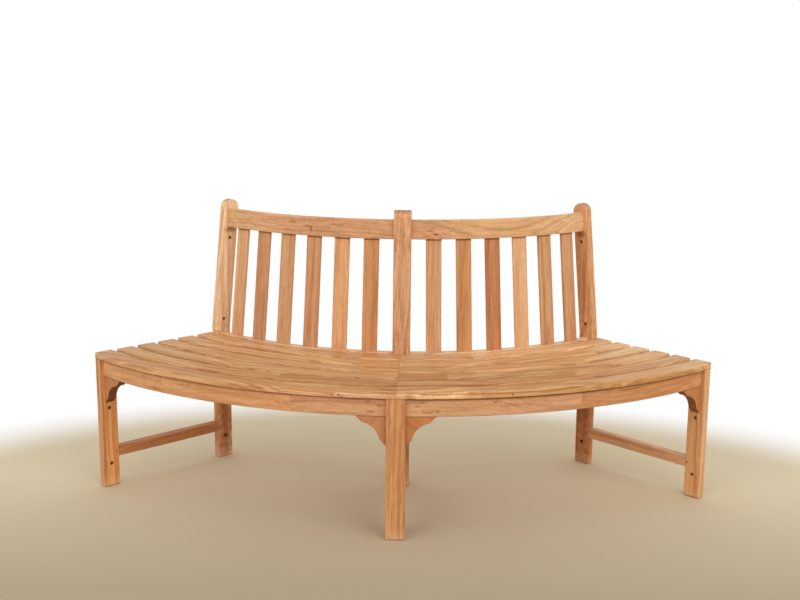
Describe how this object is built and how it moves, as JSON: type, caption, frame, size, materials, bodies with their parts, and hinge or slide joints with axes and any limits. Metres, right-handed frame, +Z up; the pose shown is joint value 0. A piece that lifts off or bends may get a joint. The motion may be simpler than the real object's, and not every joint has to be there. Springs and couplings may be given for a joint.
{
  "type": "tree bench",
  "caption": "Curved slatted wooden bench, a quarter of a ring that goes round a tree trunk, with a curved slatted back that faces outward.",
  "frame": {"origin": "on the ground, at the middle of the bench's box seen from above", "axes": "+X along the bench to the right of someone who stands in front of it, +Y from the seat's front edge towards the back and the tree, +Z up; the ring's own axis stands 0.970 m behind the origin along +Y"},
  "size_m": [1.9234, 0.7808, 0.8872],
  "materials": {
    "seat_teak": "sanded and lightly oiled, with fine grain",
    "frame_teak": "sanded and lightly oiled, with fine grain",
    "pegs": "sawn and sanded end grain",
    "steel": "plain stainless"
  },
  "bodies": {
    "root": {"back_post_center": "frame_teak", "back_post_left": "frame_teak", "back_post_right": "frame_teak", "back_slat_left_1": "frame_teak", "back_slat_left_2": "frame_teak", "back_slat_left_3": "frame_teak", "back_slat_left_4": "frame_teak", "back_slat_left_5": "frame_teak", "back_slat_left_6": "frame_teak", "back_slat_right_1": "frame_teak", "back_slat_right_2": "frame_teak", "back_slat_right_3": "frame_teak", "back_slat_right_4": "frame_teak", "back_slat_right_5": "frame_teak", "back_slat_right_6": "frame_teak", "bearer_dowels": "pegs", "bracket_dowels": "pegs", "frame_pegs": "pegs", "front_apron_left": "frame_teak", "front_apron_right": "frame_teak", "front_leg_center": "frame_teak", "front_leg_left": "frame_teak", "front_leg_right": "frame_teak", "front_slat_dowels": "pegs", "inner_bracket_left": "frame_teak", "inner_bracket_right": "frame_teak", "lower_back_rail_left": "frame_teak", "lower_back_rail_right": "frame_teak", "outer_bracket_left": "frame_teak", "outer_bracket_right": "frame_teak", "rail_pegs": "pegs", "seat_bearer_left": "frame_teak", "seat_bearer_right": "frame_teak", "seat_rail_center": "frame_teak", "seat_rail_left": "frame_teak", "seat_rail_right": "frame_teak", "seat_slat_left_1": "seat_teak", "seat_slat_left_2": "seat_teak", "seat_slat_left_3": "seat_teak", "seat_slat_left_4": "seat_teak", "seat_slat_left_5": "seat_teak", "seat_slat_left_6": "seat_teak", "seat_slat_right_1": "seat_teak", "seat_slat_right_2": "seat_teak", "seat_slat_right_3": "seat_teak", "seat_slat_right_4": "seat_teak", "seat_slat_right_5": "seat_teak", "seat_slat_right_6": "seat_teak", "slat_screws": "steel", "stretcher_center": "frame_teak", "stretcher_left": "frame_teak", "stretcher_right": "frame_teak", "top_rail_left": "frame_teak", "top_rail_right": "frame_teak"}
  },
  "joints": []
}
